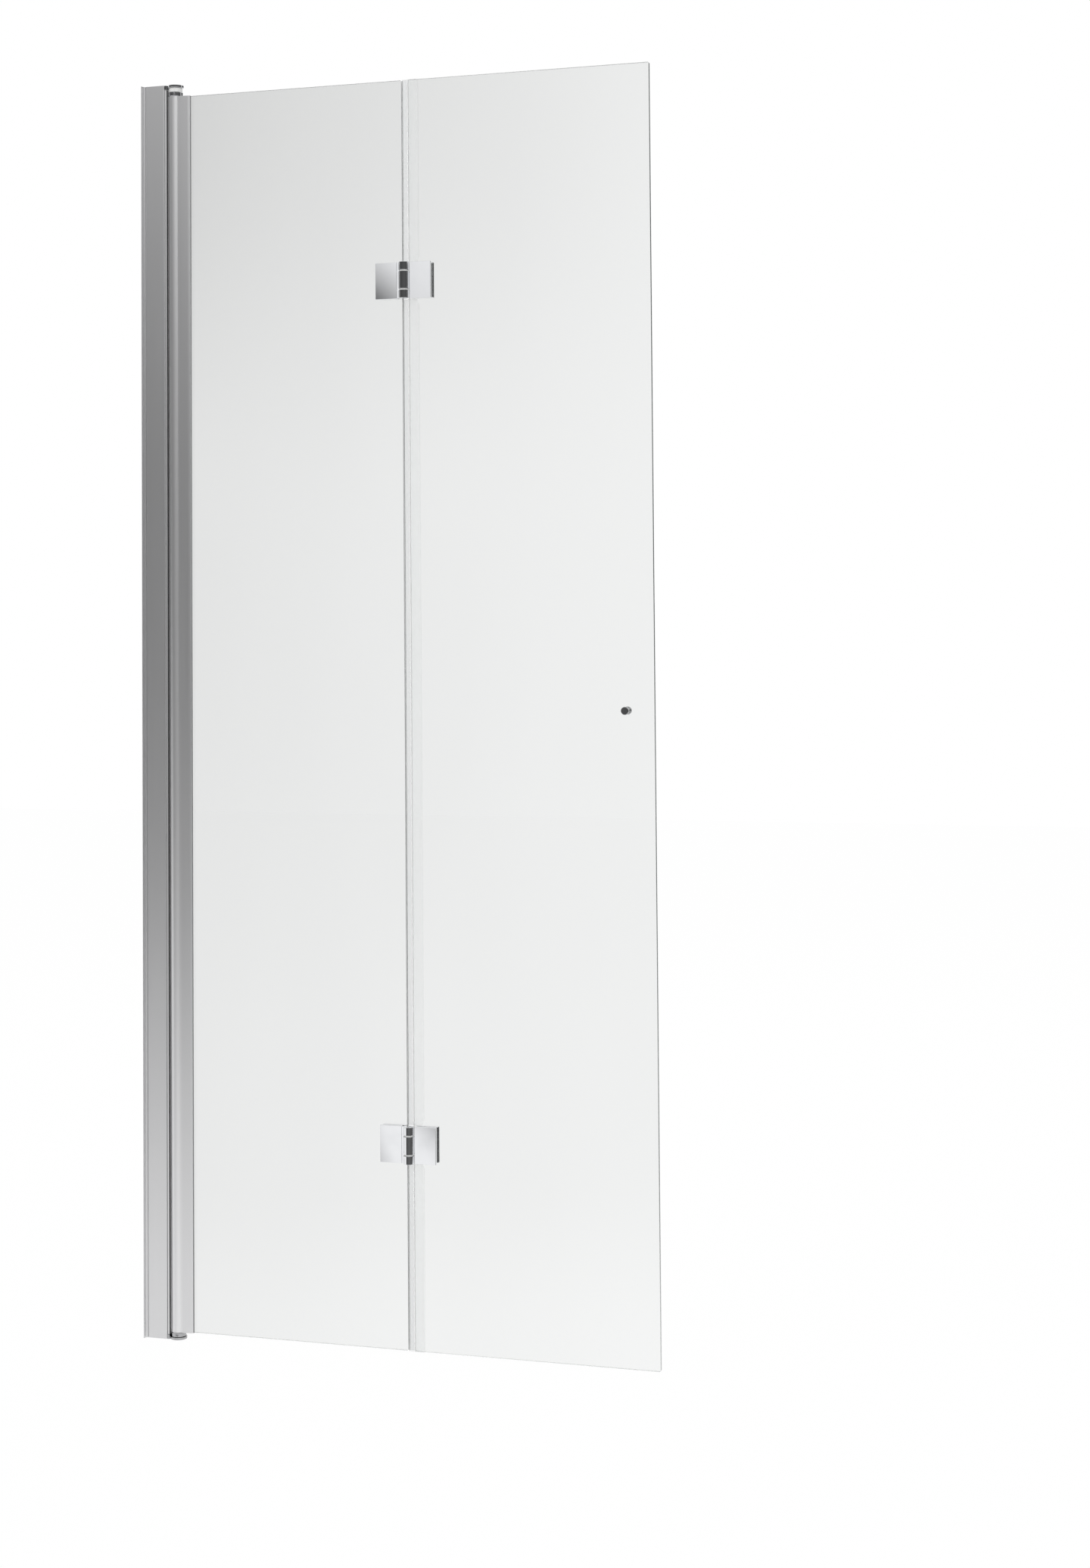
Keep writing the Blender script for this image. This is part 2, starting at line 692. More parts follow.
def sawnEnds(bar):
    facesFinish(bar, finishes["cutEnd"], lambda face: abs(face.normal.z) > 0.9)


def trueNormals(obj, x, y):
    # Keeps flat faces flat and the barrel round about its axis, so that polished faces mirror cleanly
    mesh = obj.data
    exact, atVertex = {}, {}

    def fromAxis(place):
        return Vector((place.x - x, place.y - y, 0)).normalized()

    for face in mesh.polygons:
        normal, out = face.normal.copy(), fromAxis(face.center)
        if max(abs(part) for part in normal) > 0.9999:
            exact[face.index] = [normal] * len(face.vertices)
        elif abs(normal.z) < 0.001 and abs(out.dot(normal)) > 0.999:
            side = 1 if out.dot(normal) > 0 else -1
            exact[face.index] = [side * fromAxis(mesh.vertices[v].co) for v in face.vertices]
        for vertex, normal in zip(face.vertices, exact.get(face.index, [])):
            atVertex.setdefault(vertex, []).append(normal)
    normals = [corner.vector.copy() for corner in mesh.corner_normals]
    for face in mesh.polygons:
        for i, (loop, vertex) in enumerate(zip(face.loop_indices, face.vertices)):
            if face.index in exact:
                normals[loop] = exact[face.index][i]
            elif vertex in atVertex:
                normals[loop] = max(atVertex[vertex], key=face.normal.dot)
    mesh.normals_split_custom_set(normals)


def placed(obj, body, slotName, *nodes, name=None):
    # A piece has its node's name, unless it is given one
    first, *rest = nodes[0].split("_")
    obj.name = name or first + "".join(word.title() for word in rest)
    obj.data.transform(Matrix.Scale(millimetre, 4))
    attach(obj, body)
    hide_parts(*nodes)


def addScrews(name, screw, x, low, pitch, seed, body, nodes):
    # One upright row of screws, as one piece
    carrier = linked("row", bpy.data.meshes.new("row"))
    inputs = {"Screw": screw, "Count": len(nodes), "Seed": seed, "Finish": finishes["steel"]}
    inputs.update({"First": (x, 0.0, low), "Step": (0.0, 0.0, pitch)})
    placed(grow(carrier, trees["screws"], inputs), body, "steel", *nodes, name=name)


# Wall channel: a U with a base that curves out to the wall, slotted for the wall screws
wallChannel = {
    "baseEdge": 1.0, "edgeSlope": 0.4, "curveEnd": 4.5, "jambHalf": 8.5, "legHalf": 6.7, "legWall": 1.6,
    "web": 2.0, "slotInset": 140.0, "slotCount": 4, "slotLength": 12.0, "slotWidth": 5.5, "edge": 0.15,
}
jambScrews = {"inset": 200.0, "count": 3, "fromWall": 16.0, "hole": 2.1}
wallScrewX = jambScrews["fromWall"]
frameLow, frameHigh = span("wall_channel")[2]
screwPitch = (frameHigh - frameLow - 2 * jambScrews["inset"]) / (jambScrews["count"] - 1)
screwHeights = [frameLow + jambScrews["inset"] + i * screwPitch for i in range(jambScrews["count"])]


def screwHole(x, z, y0, y1):
    return crossBar(x, z, y0, y1, jambScrews["hole"])


def addWallChannel():
    s = wallChannel
    (x0, x1), (_, y1), z = span("wall_channel")
    baseX, curveX = x0 + s["baseEdge"], x0 + s["curveEnd"]
    leg = s["legHalf"] - s["legWall"]
    half = [(x0, y1), (baseX - s["edgeSlope"], y1)]
    curve = (baseX, y1 - s["edgeSlope"]), (baseX + s["edgeSlope"], s["jambHalf"]), (curveX, s["jambHalf"])
    half += bend(*curve)
    half += [(curveX, s["legHalf"]), (x1, s["legHalf"]), (x1, leg), (x0 + s["web"], leg)]
    channel = section([half + otherSide(half)], *z, "aluminium")
    pitch = (z[1] - z[0] - 2 * s["slotInset"]) / (s["slotCount"] - 1)
    run, radius = (s["slotLength"] - s["slotWidth"]) / 2, s["slotWidth"] / 2
    outline = arc(run, 0, radius, -90, 90, 16) + arc(-run, 0, radius, 90, 270, 16)
    tools = []
    for i in range(s["slotCount"]):
        tool = section([outline], -overrun, s["web"] + overrun, turn=(0.0, quarterTurn, 0.0))
        tools.append(moved(tool, x0, 0, z[0] + s["slotInset"] + i * pitch))
    tools += [screwHole(wallScrewX, height, leg - overrun, s["legHalf"] + overrun) for height in screwHeights]
    softened(cut(channel, *tools), s["edge"])
    sawnEnds(channel)
    placed(channel, "wall_frame", "satin_aluminium", "wall_channel")


# Jamb: the adjusting profile with its fine face line, sloping strip, inlay, seal grooves and hollow
jamb = {
    "wall": 1.5, "bevelLength": 1.4, "bevelDrop": 1.0, "faceLineInset": 5.2, "faceLineHalf": 0.4,
    "faceLineDepth": 0.12, "shoulderDrop": 0.8, "stripLength": 3.6, "stripDrop": 1.5, "inlay": (0.25, 1.55),
    "inlayDepth": 0.4, "inlaySlack": 0.05, "hollowWidth": 9.0, "hollowHalf": 4.6, "grooveInset": 1.0,
    "grooveHalf": 0.75, "grooveDepth": 1.45, "recess": 7.1, "edge": 0.16,
}
bracketScrews = {"inset": 14.0, "reach": 8.0}
jambX, jambY, jambZ = span("jamb_profile")
shoulderX = jambX[1] - jamb["stripLength"]
hollowX = (jambX[1] - jamb["wall"] - jamb["hollowWidth"], jambX[1] - jamb["wall"])
bracketScrewX = middle((hollowX[0], shoulderX - jamb["shoulderDrop"]))
grooveY = jambY[1] - jamb["stripDrop"] - jamb["grooveInset"]


def addJamb():
    s = jamb
    (x0, x1), (y0, y1), z = jambX, jambY, jambZ
    lineX = shoulderX - s["faceLineInset"]
    wallY, stripTop = y1 - s["wall"], y1 - s["shoulderDrop"] / 2
    slope = (s["stripDrop"] - s["shoulderDrop"] / 2) / s["stripLength"]
    near, far = s["inlay"]
    nearX, farX, inlayFloor = shoulderX + near, shoulderX + far, stripTop - s["inlayDepth"]
    grooveX, grooveTop, grooveFoot = x1 - s["grooveDepth"], grooveY + s["grooveHalf"], grooveY - s["grooveHalf"]
    half = [(hollowX[0] - s["wall"], wallY), (x0, wallY), (x0, y1 - s["bevelDrop"])]
    half += [(x0 + s["bevelLength"], y1), (lineX - s["faceLineHalf"], y1), (lineX, y1 - s["faceLineDepth"])]
    half += [(lineX + s["faceLineHalf"], y1)]
    half += [(shoulderX - s["shoulderDrop"], y1), (shoulderX, stripTop), (nearX, stripTop - near * slope)]
    half += [(nearX, inlayFloor), (farX, inlayFloor), (farX, stripTop - far * slope), (x1, y1 - s["stripDrop"])]
    half += [(x1, grooveTop), (grooveX, grooveTop), (grooveX, grooveFoot), (x1, grooveFoot)]
    hollow = rectangle(*hollowX, -s["hollowHalf"], s["hollowHalf"])
    profile = section([half + otherSide(half), hollow], *z, "aluminium")
    holes = [screwHole(wallScrewX, height, y1 - 2 * overrun, y1 + overrun) for height in screwHeights]
    recesses = []
    for end, turn in ((z[0], 1), (z[1], -1)):
        height = inward(end, turn, -overrun, s["recess"])
        recesses.append(slab((shoulderX, x1 + overrun), (y0 - overrun, y1 + overrun), height))
        screwZ = end + turn * bracketScrews["inset"]
        holes.append(screwHole(bracketScrewX, screwZ, y1 - bracketScrews["reach"], y1 + overrun))
    softened(cut(profile, *recesses), s["edge"])
    evenShading(cut(profile, *holes))
    sawnEnds(profile)
    slack = s["inlaySlack"]
    inlayTop = stripTop - near * slope - slack

    def inlaid(face):
        x, y, _ = face.center
        across = nearX - slack < x < farX + slack and y1 - s["stripDrop"] < abs(y) < inlayTop
        return across and abs(face.normal.z) < 0.5

    # A narrow grey inlay lies in the sloping strip
    facesFinish(profile, finishes["greyRubber"], inlaid)
    placed(profile, "wall_frame", "satin_aluminium", "jamb_profile")


def inward(end, turn, start, depth):
    # Heights from start to depth, measured from an end of the frame into it
    return sorted((end + turn * start, end + turn * depth))


# Black strip in the jamb's front groove: a stem and a rounded lip that meets the nose
lipSeal = {"trim": 0.7, "stemHalf": 0.6, "backLength": 0.9, "edge": 0.12}


def addLipSeal():
    s = lipSeal
    (x0, x1), y, z = span("jamb_lip_seal")
    headX = jambX[1] + clearance
    centre, head = middle(y), halfWidth(y)
    low, high = centre - s["stemHalf"], centre + s["stemHalf"]
    points = [(x0, low), (headX, low), (headX, y[0])] + arc(x1 - s["trim"] - head, centre, head, -90, 45, 8)
    points += [(headX + s["backLength"], y[1]), (headX, y[1]), (headX, high), (x0, high)]
    strip = softened(section([points], *z, "blackRubber"), s["edge"])
    placed(strip, "wall_frame", "black_rubber", "jamb_lip_seal")


# Pan head screws behind the jamb, each with a hexagon socket
panScrew = {
    "head": 3.4, "headHeight": 2.0, "dome": 1.2, "shank": 1.9, "tip": 0.4, "length": 8.0, "socket": 1.3,
    "socketDepth": 1.2, "edge": 0.08,
}


def panScrewShape():
    s = panScrew
    foot, seat = jambY[1] - s["length"], jambY[1] + clearance
    top = seat + s["headHeight"]
    shank, head, dome = s["shank"], s["head"], s["dome"]
    profile = [(0, foot), (shank - s["tip"], foot), (shank, foot + s["tip"]), (shank, seat), (head, seat)]
    profile += arc(head - dome, top - dome, dome, 0, 90, 8) + [(0, top)]
    screw = turned(profile, "steel", axis="Y", sides=40)
    socket = crossBar(0, 0, top - s["socketDepth"], top + overrun, s["socket"], 6)
    return softened(cut(screw, socket), s["edge"])


def addJambScrews():
    screw = panScrewShape()
    nodes = [f"jamb_screw_{i + 1}" for i in range(jambScrews["count"])]
    addScrews("jambScrews", screw, wallScrewX, screwHeights[0], screwPitch, 3, "wall_frame", nodes)
    inset = bracketScrews["inset"]
    nodes = ["pivot_bracket_screw_bottom", "pivot_bracket_screw_top"]
    pitch = frameHigh - frameLow - 2 * inset
    addScrews("pivotBracketScrews", screw, bracketScrewX, frameLow + inset, pitch, 8, "wall_frame", nodes)
    bpy.data.objects.remove(screw)


addWallChannel()
addJamb()
addLipSeal()
addJambScrews()
print("wall channel, jamb, lip seal and screws made")


# Pivots: a bracket in each end of the jamb, a pin, a collar with its set screw, and the spacer on top
pivot = {
    "plate": 3.8, "plateInset": 0.2, "armHalf": 7.0, "headDepth": 6.8, "headInset": 0.4, "gap": 0.3,
    "tongueHalf": 4.3, "discRadius": 12.5, "pinHole": 4.15, "chamfer": 0.5, "bracketEdge": 0.3, "edge": 0.1,
    "collarEdge": 0.12, "spacerEdge": 0.15,
}
pivotFinish = {"bottom": "dullChrome", "top": "chrome"}
setScrew = {
    "turn": 12.0, "radius": 2.0, "inset": 0.6, "tip": 0.8, "tipRadius": 1.2, "socket": 1.1,
    "socketDepth": 1.8, "edge": 0.08,
}
pivotX = middle(span("pivot_pin_bottom")[0])


def addBracket(level, end, turn):
    s = pivot
    chrome = pivotFinish[level]
    (x0, _), _, z = span(f"pivot_bracket_{level}")
    headX = (shoulderX + s["gap"], span(f"pivot_collar_{level}")[0][0] - s["gap"])
    headHalf = jambY[1] - s["headInset"]
    bracket = slab(headX, (-headHalf, headHalf), inward(end, turn, 0, s["headDepth"]), chrome)
    # The plate and the tongue lie a little behind the head's end face
    meet = math.degrees(math.asin(s["armHalf"] / s["discRadius"]))
    armX = headX[0] + overrun / 2
    outline = [(armX, s["armHalf"]), (armX, -s["armHalf"])]
    outline += arc(pivotX, 0, s["discRadius"], meet - 180, 180 - meet, 90)
    height = inward(end, turn, s["plateInset"], s["plate"])
    plate = section([outline, circle(pivotX, 0, s["pinHole"])], *height, chrome)
    height = sorted((end + turn * s["plateInset"], z[1] if turn > 0 else z[0]))
    tongue = slab((x0, hollowX[1] - s["gap"]), (-s["tongueHalf"], s["tongueHalf"]), height, chrome)
    screwZ = end + turn * bracketScrews["inset"]
    cut(tongue, screwHole(bracketScrewX, screwZ, jambY[1] - bracketScrews["reach"], headHalf + overrun))
    evenShading(*(softened(shell, s["bracketEdge"], 3) for shell in (bracket, plate, tongue)))
    placed(bracket, "wall_frame", "chrome", f"pivot_bracket_{level}")


def towardsFront(obj, height):
    # Turns a shape drawn along -Y to the set screw's angle and takes it to the collar
    turn = Matrix.Rotation(math.radians(setScrew["turn"]), 4, "Z")
    obj.data.transform(Matrix.Translation((pivotX, 0, height)) @ turn)
    return obj


def addSetScrew(level, outer, radius, height):
    s = setScrew
    face, tip = s["inset"] - outer, -radius - clearance
    profile = [(0, face), (s["radius"], face), (s["radius"], tip - s["tip"]), (s["tipRadius"], tip), (0, tip)]
    screw = turned(profile, "steel", axis="Y", sides=36)
    cut(screw, crossBar(0, 0, face - overrun, face + s["socketDepth"], s["socket"], 6))
    towardsFront(softened(screw, s["edge"]), height)
    placed(screw, "wall_frame", "steel", f"collar_set_screw_{level}")


def addPivot(level, end, turn):
    s = pivot
    addBracket(level, end, turn)
    x, _, z = span(f"pivot_pin_{level}")
    radius = halfWidth(x)
    pin = turned(chamfered(0, radius, z, s["chamfer"]), "steel", (pivotX, 0, 0))
    placed(softened(pin, s["edge"]), "wall_frame", "steel", f"pivot_pin_{level}")
    x, _, z = span(f"pivot_collar_{level}")
    outer = halfWidth(x)
    collar = ring(pivotX, 0, z, outer, s["pinHole"], s["chamfer"], pivotFinish[level])
    hole = crossBar(0, 0, -outer - overrun, -radius, setScrew["radius"] + clearance)
    softened(cut(collar, towardsFront(hole, middle(z))), s["collarEdge"])
    placed(collar, "wall_frame", "chrome", f"pivot_collar_{level}")
    addSetScrew(level, outer, radius, middle(z))
    x, _, z = span(f"pivot_bush_{level}")
    bush = ring(pivotX, 0, z, halfWidth(x), radius + s["gap"], s["chamfer"], "nylon")
    placed(softened(bush, s["edge"]), "inner_panel", "nylon", f"pivot_bush_{level}")


def addSpacer():
    x, _, z = span("pivot_spacer_top")
    spacer = ring(pivotX, 0, z, halfWidth(x), pivot["pinHole"], pivot["chamfer"], "nylon")
    placed(softened(spacer, pivot["spacerEdge"]), "wall_frame", "nylon", "pivot_spacer_top")


addPivot("bottom", frameLow, 1)
addPivot("top", frameHigh, -1)
addSpacer()
print("pivots made")


# Swinging profile: a round nose with its bore, a hollow web and jaws for the glass
swing = {
    "nose": 11.0, "jawHalf": 8.5, "bore": 7.2, "flatEnd": 13.5, "slopeDrop": 0.5, "lipLength": 4.0,
    "lipDrop": 1.5, "slotFloor": 13.0, "slotHalf": 5.45, "webWall": 1.6, "rearTrim": 2.8, "edge": 0.2,
}


def addSwingProfile():
    s = swing
    x, _, z = span("swing_profile")
    meet = math.degrees(math.asin(s["jawHalf"] / s["nose"]))
    nose = arc(pivotX, 0, s["nose"], 180, meet, 40)
    floor, slope = pivotX + s["slotFloor"], s["jawHalf"] - s["slopeDrop"]
    rear, front = (
        nose[1:] + [(pivotX + s["flatEnd"], s["jawHalf"]), (end - s["lipLength"], slope)]
        + [(end, slope - s["lipDrop"]), (end, s["slotHalf"]), (floor, s["slotHalf"])]
        for end in (x[1] - s["rearTrim"], x[1])
    )
    side = s["jawHalf"] - s["webWall"]
    hollow = rectangle(pivotX + s["bore"] + s["webWall"], floor - s["webWall"], -side, side)
    loops = [rear + otherSide(front) + [nose[0]], circle(pivotX, 0, s["bore"], 72), hollow]
    profile = softened(section(loops, *z, "noseAluminium"), s["edge"])
    sawnEnds(profile)
    placed(profile, "inner_panel", "satin_aluminium", "swing_profile")


gasket = {"floor": 1.4, "proud": 0.5, "trim": 0.6, "rearTrim": 4.0, "edge": 0.12}


def addGasket():
    s = gasket
    (x0, x1), (_, y1), z = span("glazing_gasket")
    x1 -= s["trim"]
    rear, front = (
        bend((end - s["proud"], y1), (end, y1), (end, glassFace), 6) for end in (x1 - s["rearTrim"], x1)
    )
    floor = x0 + s["floor"]
    outline = [(x0, y1)] + rear + [(floor, glassFace), (floor, -glassFace)] + otherSide(front) + [(x0, -y1)]
    strip = softened(section([outline], *z, "greyRubber"), s["edge"])
    placed(strip, "inner_panel", "grey_rubber", "glazing_gasket")


addSwingProfile()
addGasket()
print("swinging profile and gasket made")


# Fold hinges: sizes that both levels and both sides share
hinge = {
    "knuckle": 7.9, "knuckleEdge": 0.35, "middleKnuckle": 26.0, "washer": 1.4, "washerRadius": 7.1,
    "washerEdges": (0.2, 0.08), "gap": 0.3, "pinHole": 3.15, "pinRound": 0.8, "pinEdge": 0.05,
    "screwOffset": 14.0, "screwShank": 2.5, "screwHead": 4.6, "screwCone": 2.1, "screwBite": 3.4,
    "screwSocket": 1.7, "screwSocketDepth": 1.6, "screwEdge": 0.1, "glassHole": 6.0, "sleeve": 5.7,
    "webOverlap": 5.0, "webDrop": 1.2, "webStep": 3.1, "webInset": 0.2, "plateTrim": 1.0, "plateEdge": 0.35,
    "padTrim": 0.9, "padEdge": 0.12,
}
# How each polished plate leans and twists, and how the webs lean, in degrees
plateLean = {
    "upper": {"inner": (11.6, 3.0), "outer": (18.2, 0.5), "web": 21.5},
    "lower": {"inner": (-2.45, -0.55), "outer": (-2.15, 0.28), "web": -5.0},
}
plateX = {side: span(f"upper_hinge_{side}_plate")[0] for side in ("inner", "outer")}
_, plateY, plateZ = span("upper_hinge_inner_plate")
hingeHalf = halfWidth(plateZ)
foldX, foldY = (middle(side) for side in span("upper_hinge_pin")[:2])
hingeMiddle = {level: middle(span(f"{level}_hinge_pin")[2]) for level in ("lower", "upper")}


def screwPlaces(side, level):
    x = middle(plateX[side])
    return [(x, hingeMiddle[level] + turn * hinge["screwOffset"]) for turn in (-1, 1)]


# Glass panels, drilled for the hinge screws and the knob
glassPanel = {"corner": 2.0, "arris": 0.45, "knobHole": 4.0}
knobX, knobZ = (middle(span("knob_front")[i]) for i in (0, 2))


def addGlass(side, body, extraHoles):
    s = glassPanel
    (x0, x1), y, (z0, z1) = span(f"{side}_glass")
    r = s["corner"]
    corners = ((x1 - r, z1 - r), (x0 + r, z1 - r), (x0 + r, z0 + r), (x1 - r, z0 + r))
    outline = []
    for i, (x, z) in enumerate(corners):
        outline += arc(x, z, r, 90 * i, 90 * (i + 1), 8)
    places = screwPlaces(side, "lower") + screwPlaces(side, "upper")
    holes = [circle(*place, hinge["glassHole"], 48) for place in places]
    panel = section([outline] + holes + extraHoles, *y, "glass", (quarterTurn, 0.0, 0.0))
    softened(panel, s["arris"], 1)
    facesFinish(panel, finishes["glassEdge"], lambda face: abs(face.normal.y) < 0.9)
    placed(panel, body, "glass", f"{side}_glass")


addGlass("inner", "inner_panel", [])
addGlass("outer", "outer_panel", [circle(knobX, knobZ, glassPanel["knobHole"], 48)])
print("glass panels made")


def knuckleSpans(side, level):
    s = hinge
    centre, half = hingeMiddle[level], s["middleKnuckle"] / 2
    if side == "outer":
        return [(centre - half, centre + half)]
    space = s["washer"] + 2 * s["gap"]
    return [(centre - hingeHalf, centre - half - space), (centre + half + space, centre + hingeHalf)]


def addFrontLeaf(side, level, body):
    s = hinge
    inner = side == "inner"
    x0, x1 = plateX[side]
    face, back = -plateY[1], -plateY[0]
    centre = hingeMiddle[level]
    z = (centre - hingeHalf, centre + hingeHalf)
    plateEnds = (x0, x1 - s["webStep"]) if inner else (x0, x1)
    leaf = slab(plateEnds, (face, back), z, "chrome")
    drill = (back - s["screwBite"] - clearance, back + overrun, s["screwShank"] + clearance)
    softened(cut(leaf, *(crossBar(*place, *drill) for place in screwPlaces(side, level))), s["plateEdge"], 3)
    # A recessed web carries the knuckles
    webFace, webBack = face + s["webDrop"], back - s["webInset"]
    root = plateEnds[1] - overrun if inner else x0 + overrun
    webs = [(x1, z)] if inner else []
    webEnd = foldX - s["webOverlap"] if inner else foldX + s["webOverlap"]
    webs += [(webEnd, knuckle) for knuckle in knuckleSpans(side, level)]
    shells = []
    for i, (end, (low, high)) in enumerate(webs):
        depth = (webFace + min(i, 1) * s["webInset"], webBack)
        web = slab(sorted((root, end)), depth, (low + s["webInset"], high - s["webInset"]), "chrome")
        shells.append(softened(web, 0.2))
    for knuckle in knuckleSpans(side, level):
        shells.append(ring(foldX, foldY, knuckle, s["knuckle"], s["pinHole"], s["knuckleEdge"], "chrome"))
    trueNormals(evenShading(leaf, *shells), foldX, foldY)
    place = [middle((x0, x1)) * millimetre, centre * millimetre]
    size = [halfWidth((x0, x1)) * millimetre, hingeHalf * millimetre]
    plateFinish = plateChrome(f"{level}{side.title()}Chrome", place, size, *plateLean[level][side])
    webFinish = plateChrome(f"{level}{side.title()}WebChrome", place, size, plateLean[level]["web"], 0.0)
    facesFinish(leaf, plateFinish, lambda part: part.normal.y < -0.99 and abs(part.center.y - face) < 0.1)
    facesFinish(leaf, webFinish, lambda part: part.normal.y < -0.999 and abs(part.center.y - webFace) < 0.3)
    placed(leaf, body, "chrome", f"{level}_hinge_{side}_leaf")


def screwForm(gap, rise, finish):
    s = hinge
    seat, tip = plateY[1] - s["screwCone"] - gap, -plateY[0] - s["screwBite"]
    shank, head, top = s["screwShank"] + gap, s["screwHead"] + gap, plateY[1] + rise
    profile = [(0, tip), (shank, tip), (shank, seat), (head, plateY[1] - gap), (head, top), (0, top)]
    return turned(profile, finish, axis="Y", sides=48)


def addRearPlate(side, level, body):
    s = hinge
    centre, half = hingeMiddle[level], hingeHalf - s["plateTrim"]
    plate = softened(slab(plateX[side], plateY, (centre - half, centre + half), "chrome"), s["plateEdge"], 3)
    tools = [moved(screwForm(clearance, overrun, "chrome"), x, 0, z) for x, z in screwPlaces(side, level)]
    evenShading(cut(plate, *tools))
    placed(plate, body, "chrome", f"{level}_hinge_{side}_plate")


def addPad(side, level, face, body):
    s = hinge
    where = "front" if face < 0 else "rear"
    node = f"{level}_hinge_{side}_{where}_pad"
    x, (y0, y1), (z0, z1) = span(node)
    sheetY = sorted((face * glassFace, face * max(abs(y0), abs(y1))))
    pad = slab(x, sheetY, (z0 + s["padTrim"], z1 - s["padTrim"]), "padVinyl")
    places = screwPlaces(side, level)
    joined(pad, *(crossBar(*place, y0, y1, s["sleeve"]) for place in places))
    cut(pad, *(crossBar(*place, y0 - overrun, y1 + overrun, s["screwShank"] + s["gap"]) for place in places))
    placed(softened(pad, s["padEdge"]), body, "clear_vinyl", node)


def addHinge(level, screw):
    s = hinge
    for side, body in (("inner", "inner_panel"), ("outer", "outer_panel")):
        addFrontLeaf(side, level, body)
        addRearPlate(side, level, body)
        addPad(side, level, -1, body)
        addPad(side, level, 1, body)
        (x, low), (_, high) = screwPlaces(side, level)
        nodes = [f"{level}_hinge_{side}_screw_{i}" for i in (1, 2)]
        seed = 11 + len(level + side)
        addScrews(f"{level}Hinge{side.title()}Screws", screw, x, low, high - low, seed, body, nodes)
    x, _, (z0, z1) = span(f"{level}_hinge_pin")
    radius, curve = halfWidth(x), s["pinRound"]
    foot = arc(radius - curve, z0 + curve, curve, -90, 0, 6)
    dome = arc(radius - curve, z1 - curve, curve, 0, 90, 6)
    pin = turned([(0, z0)] + foot + dome + [(0, z1)], "steel", (foldX, foldY, 0))
    placed(softened(pin, s["pinEdge"]), "inner_panel", "steel", f"{level}_hinge_pin")
    chamfer, edge = s["washerEdges"]
    for end in ("low", "high"):
        node = f"{level}_hinge_washer_{end}"
        washer = ring(foldX, foldY, span(node)[2], s["washerRadius"], s["pinHole"], chamfer, "nylon")
        placed(softened(washer, edge), "inner_panel", "nylon", node)
    print(level, "hinge made")


hingeScrew = screwForm(0, 0, "steel")
socketFloor = plateY[1] - hinge["screwSocketDepth"]
cut(hingeScrew, crossBar(0, 0, socketFloor, plateY[1] + overrun, hinge["screwSocket"], 6))
softened(hingeScrew, hinge["screwEdge"])
addHinge("lower", hingeScrew)
addHinge("upper", hingeScrew)
bpy.data.objects.remove(hingeScrew)


# Clear fold seal: two flanges grip the glass and a hollow bulb fills the space at the fold.
# Its corners are notched where a hinge is next to it.
foldSeal = {"wall": 0.95, "bulbWall": 0.9, "bulbHalf": 2.9, "notch": 3.0, "notchHeight": 9.0, "edge": 0.1}


def addFoldSeal(part, clipStart, clipEnd):
    s = foldSeal
    (x0, x1), (y0, y1), z = span(f"fold_seal_{part}")
    glassX = span("outer_glass")[0][0] - clearance
    wallX, bulbX = glassX - s["wall"], x0 + s["bulbHalf"]
    half = [(glassX, glassFace), (x1, glassFace), (x1, y1), (wallX, y1), (wallX, s["bulbHalf"])]
    half += arc(bulbX, 0, s["bulbHalf"], 90, 180, 16)
    inner = s["bulbHalf"] - s["bulbWall"]
    hollow = [(wallX, inner)] + arc(bulbX, 0, inner, 90, 270, 24) + [(wallX, -inner)]
    seal = section([half + otherSide(half[:-1]), hollow], *z, "vinyl")
    tools = []
    for end, turn, clipped in ((z[0], 1, clipStart), (z[1], -1, clipEnd)):
        if clipped:
            near, top, past = x1 - s["notch"], end + turn * s["notchHeight"], end - turn * overrun
            corner = [(near, end), (x1, top), (x1 + overrun, top), (x1 + overrun, past), (near, past)][::turn]
            tools.append(section([corner], y0 - overrun, y1 + overrun, turn=(quarterTurn, 0.0, 0.0)))
    softened(cut(seal, *tools), s["edge"])
    facesFinish(seal, finishes["bulbVinyl"], lambda face: face.center.x < wallX + 0.2)
    placed(seal, "outer_panel", "clear_vinyl", f"fold_seal_{part}")


addFoldSeal("low", False, True)
addFoldSeal("middle", True, True)
addFoldSeal("high", True, False)
print("fold seals made")


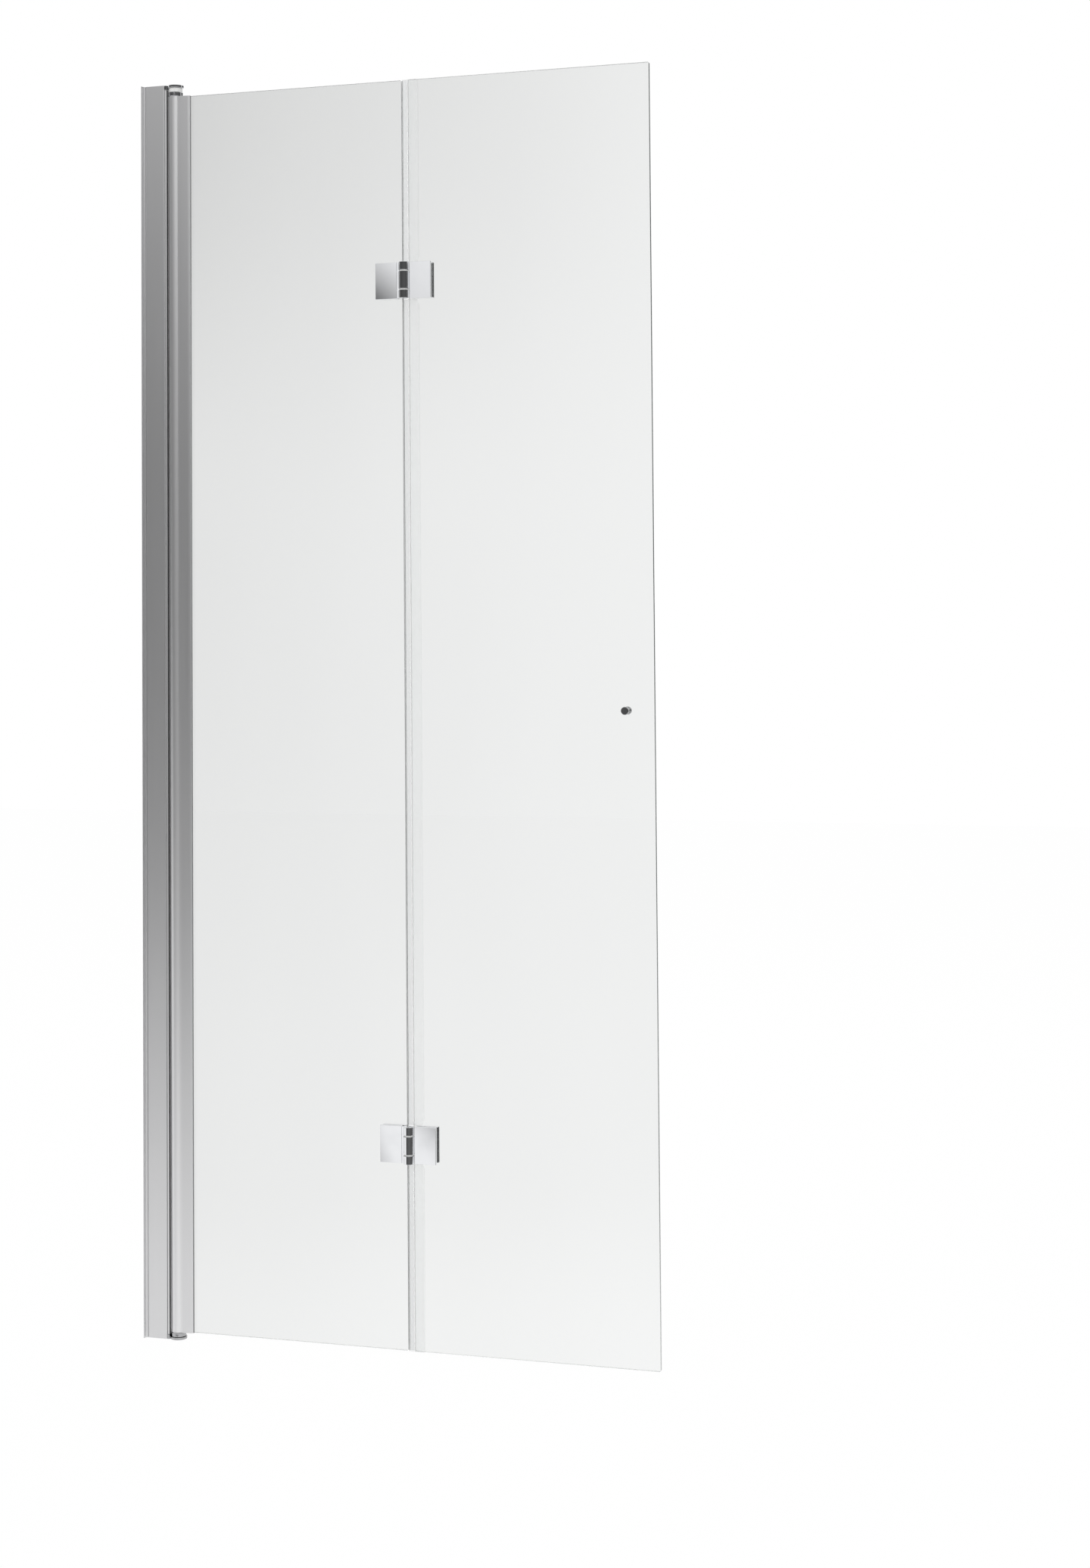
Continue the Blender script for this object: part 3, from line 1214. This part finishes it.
# Knob: two turned halves on a stud, each on a clear washer
knob = {
    "radius": 5.8, "neck": 4.3, "neckChamfer": 0.3, "neckLength": 2.0, "flare": 2.2, "flarePull": 0.6,
    "rim": 2.1, "round": 0.8, "stud": 2.0, "studRoom": 0.3, "dish": 0.25, "dishRadius": 0.55,
    "dishPull": 0.6, "edge": 0.1, "washerChamfer": 0.2, "washerEdge": 0.05,
}


def knobProfile(seat, end):
    s = knob
    neck, radius, chamfer = s["neck"], s["radius"], s["neckChamfer"]
    flare = seat + s["neckLength"]
    pull = (neck, flare + s["flare"] * s["flarePull"])
    profile = [(0, seat), (neck - chamfer, seat), (neck, seat + chamfer)]
    profile += bend((neck, flare), pull, (radius, flare + s["flare"]), 8)
    profile += arc(radius - s["round"], end - s["round"], s["round"], 0, 90, 8)
    return profile + [(radius * s["dishRadius"], end - s["dish"] * s["dishPull"]), (0, end - s["dish"])]


def addKnob():
    s = knob
    (y0, y1), (r0, r1) = span("knob_front")[1], span("knob_rear")[1]
    profile = [(radius, -height) for radius, height in knobProfile(r0, -y0)]
    front = turned(profile, "chrome", axis="Y", sides=72)
    stud = crossBar(0, 0, -r0 - s["neckLength"], y1, s["stud"])
    softened(joined(front, stud), s["edge"], angle=50)
    rim = y0 + s["rim"]
    facesFinish(front, finishes["shadedChrome"], lambda face: face.center.y < rim and face.normal.y > -0.98)
    placed(moved(front, knobX, 0, knobZ), "outer_panel", "chrome", "knob_front")
    rear = turned(knobProfile(r0, r1), "shadedChrome", axis="Y", sides=72)
    cut(rear, crossBar(0, 0, 0, y1 + s["studRoom"], s["stud"] + clearance))
    softened(moved(rear, knobX, 0, knobZ), s["edge"], angle=50)
    placed(rear, "outer_panel", "chrome", "knob_rear")
    for where in ("front", "rear"):
        node = f"knob_washer_{where}"
        x, y, _ = span(node)
        profile = chamfered(s["stud"] + clearance, halfWidth(x), y, s["washerChamfer"])
        washer = turned(profile, "vinyl", (knobX, 0, knobZ), "Y", closed=True)
        placed(softened(washer, s["washerEdge"]), "outer_panel", "clear_vinyl", node)


addKnob()
print("knob made")
